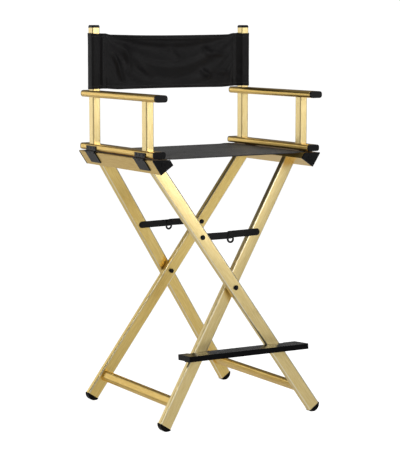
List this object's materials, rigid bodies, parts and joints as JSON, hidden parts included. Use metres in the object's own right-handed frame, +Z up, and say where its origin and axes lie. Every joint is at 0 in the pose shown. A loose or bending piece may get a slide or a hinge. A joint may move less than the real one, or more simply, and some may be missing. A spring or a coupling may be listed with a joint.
{
  "type": "folding director chair",
  "caption": "Tall folding director chair with crossed gold tube legs, cloth seat and back, armrests, folding side braces and a push-on footrest.",
  "frame": {"origin": "on the floor, under the middle of the whole chair with its footrest", "axes": "+Z up, the sitter faces -Y, +X is to the right of someone who looks at the chair's front"},
  "size_m": [0.594, 0.5835, 1.17],
  "materials": {
    "gold_frame": "brushed gold anodised aluminium tube, satin",
    "seat_cloth": "dark grey coated woven cloth, taut, slight sheen",
    "back_cloth": "near black woven cloth, soft wrinkles",
    "rubber_feet": "moulded black rubber",
    "black_steel": "black coated steel, semi gloss",
    "black_plastic": "moulded black plastic",
    "footrest_plastic": "glossy black moulded board"
  },
  "bodies": {
    "pivot": {"pivot_bolts": "black_steel", "pivot_spacers": "black_plastic"},
    "outer_legs": {"outer_leg_front": "gold_frame", "outer_leg_rear": "gold_frame", "outer_stretcher": "gold_frame", "outer_feet": "rubber_feet", "outer_seat_rail": "gold_frame", "outer_rail_caps": "black_plastic", "outer_hinge_leaves": "black_plastic", "outer_brace_bolts": "black_steel", "outer_seat_rod": "black_steel"},
    "inner_legs": {"inner_leg_front": "gold_frame", "inner_leg_rear": "gold_frame", "inner_stretcher": "gold_frame", "inner_feet": "rubber_feet", "inner_seat_rail": "gold_frame", "inner_rail_caps": "black_plastic", "inner_hinge_leaves": "black_plastic", "inner_brace_bolts": "black_steel", "inner_seat_rod": "black_steel"},
    "left_side": {"left_lower_rail": "gold_frame", "left_rail_plugs": "black_plastic", "left_front_post": "gold_frame", "left_rear_post": "gold_frame", "left_armrest": "gold_frame", "left_arm_plugs": "black_plastic", "left_post_cap": "black_plastic", "left_hinge_leaves": "black_plastic", "left_hinge_pins": "black_steel", "left_back_sleeve": "back_cloth"},
    "left_back": {"left_back_cloth": "back_cloth"},
    "right_side": {"right_lower_rail": "gold_frame", "right_rail_plugs": "black_plastic", "right_front_post": "gold_frame", "right_rear_post": "gold_frame", "right_armrest": "gold_frame", "right_arm_plugs": "black_plastic", "right_post_cap": "black_plastic", "right_hinge_leaves": "black_plastic", "right_hinge_pins": "black_steel", "right_back_sleeve": "back_cloth"},
    "right_back": {"right_back_cloth": "back_cloth"},
    "front_brace_left": {"front_brace_link_left": "black_steel", "front_brace_rivet_left": "black_steel", "front_brace_ring": "black_steel"},
    "front_brace_right": {"front_brace_link_right": "black_steel", "front_brace_rivet_right": "black_steel"},
    "rear_brace_left": {"rear_brace_link_left": "black_steel", "rear_brace_rivet_left": "black_steel", "rear_brace_ring": "black_steel"},
    "rear_brace_right": {"rear_brace_link_right": "black_steel", "rear_brace_rivet_right": "black_steel"},
    "left_seat": {"left_seat_cloth": "seat_cloth"},
    "right_seat": {"right_seat_cloth": "seat_cloth"},
    "footrest": {"footrest_board": "footrest_plastic", "footrest_clips": "footrest_plastic", "footrest_screws": "black_steel"}
  },
  "joints": [
    {"name": "fold", "type": "hinge", "parent": "pivot", "child": "outer_legs", "pos_m": [0, 0.03125, 0.398], "axis": [0, 1, 0], "range_deg": [0, 26]},
    {"name": "fold_inner", "type": "hinge", "parent": "outer_legs", "child": "inner_legs", "pos_m": [0, 0.03125, 0.398], "axis": [0, 1, 0], "range_deg": [-52, 0]},
    {"name": "left_side_hinge", "type": "hinge", "parent": "outer_legs", "child": "left_side", "pos_m": [-0.2935, 0.03125, 0.79], "axis": [0, 1, 0], "range_deg": [-26, 0]},
    {"name": "right_side_hinge", "type": "hinge", "parent": "inner_legs", "child": "right_side", "pos_m": [0.2935, 0.03125, 0.79], "axis": [0, 1, 0], "range_deg": [0, 26]},
    {"name": "front_brace_left", "type": "hinge", "parent": "outer_legs", "child": "front_brace_left", "pos_m": [-0.1025, -0.14996, 0.55192], "axis": [0.059, 0.9943, -0.0886], "range_deg": [-102.3, 0]},
    {"name": "front_brace_right", "type": "hinge", "parent": "inner_legs", "child": "front_brace_right", "pos_m": [0.1025, -0.12447, 0.55192], "axis": [-0.059, 0.9943, -0.0886], "range_deg": [0, 102.3]},
    {"name": "rear_brace_left", "type": "hinge", "parent": "outer_legs", "child": "rear_brace_left", "pos_m": [-0.1025, 0.21246, 0.55192], "axis": [-0.059, 0.9943, 0.0886], "range_deg": [-102.3, 0]},
    {"name": "rear_brace_right", "type": "hinge", "parent": "inner_legs", "child": "rear_brace_right", "pos_m": [0.1025, 0.18696, 0.55192], "axis": [0.059, 0.9943, 0.0886], "range_deg": [0, 102.3]},
    {"name": "left_back_gather", "type": "slide", "parent": "left_side", "child": "left_back", "axis": [-0.6672, -0.7449, 0], "range_m": [0, 0.30207]},
    {"name": "right_back_gather", "type": "slide", "parent": "right_side", "child": "right_back", "axis": [0.6672, -0.7449, 0], "range_m": [0, 0.30207]},
    {"name": "left_seat_gather", "type": "slide", "parent": "outer_legs", "child": "left_seat", "axis": [-0.8706, 0, -0.4919], "range_m": [0, 0.1722], "deforming": ["left_seat_cloth"]},
    {"name": "right_seat_gather", "type": "slide", "parent": "inner_legs", "child": "right_seat", "axis": [0.8706, 0, -0.4919], "range_m": [0, 0.1722], "deforming": ["right_seat_cloth"]},
    {"name": "footrest_release", "type": "slide", "parent": "pivot", "child": "footrest", "axis": [0, -0.4146, -0.91], "range_m": [0, 0.28945]}
  ],
  "couplings": [
    {"joint": "fold_inner", "follows": "fold", "ratio": -2},
    {"joint": "left_side_hinge", "follows": "fold", "ratio": -1},
    {"joint": "right_side_hinge", "follows": "fold", "ratio": 1},
    {"joint": "front_brace_left", "follows": "fold", "ratio": -3.9347},
    {"joint": "front_brace_right", "follows": "fold", "ratio": 3.9347},
    {"joint": "rear_brace_left", "follows": "fold", "ratio": -3.9347},
    {"joint": "rear_brace_right", "follows": "fold", "ratio": 3.9347},
    {"joint": "left_back_gather", "follows": "fold", "m_per_rad": 0.66566},
    {"joint": "right_back_gather", "follows": "fold", "m_per_rad": 0.66566},
    {"joint": "left_seat_gather", "follows": "fold", "m_per_rad": 0.37948},
    {"joint": "right_seat_gather", "follows": "fold", "m_per_rad": 0.37948},
    {"joint": "footrest_release", "follows": "fold", "m_per_rad": 0.63787}
  ]
}
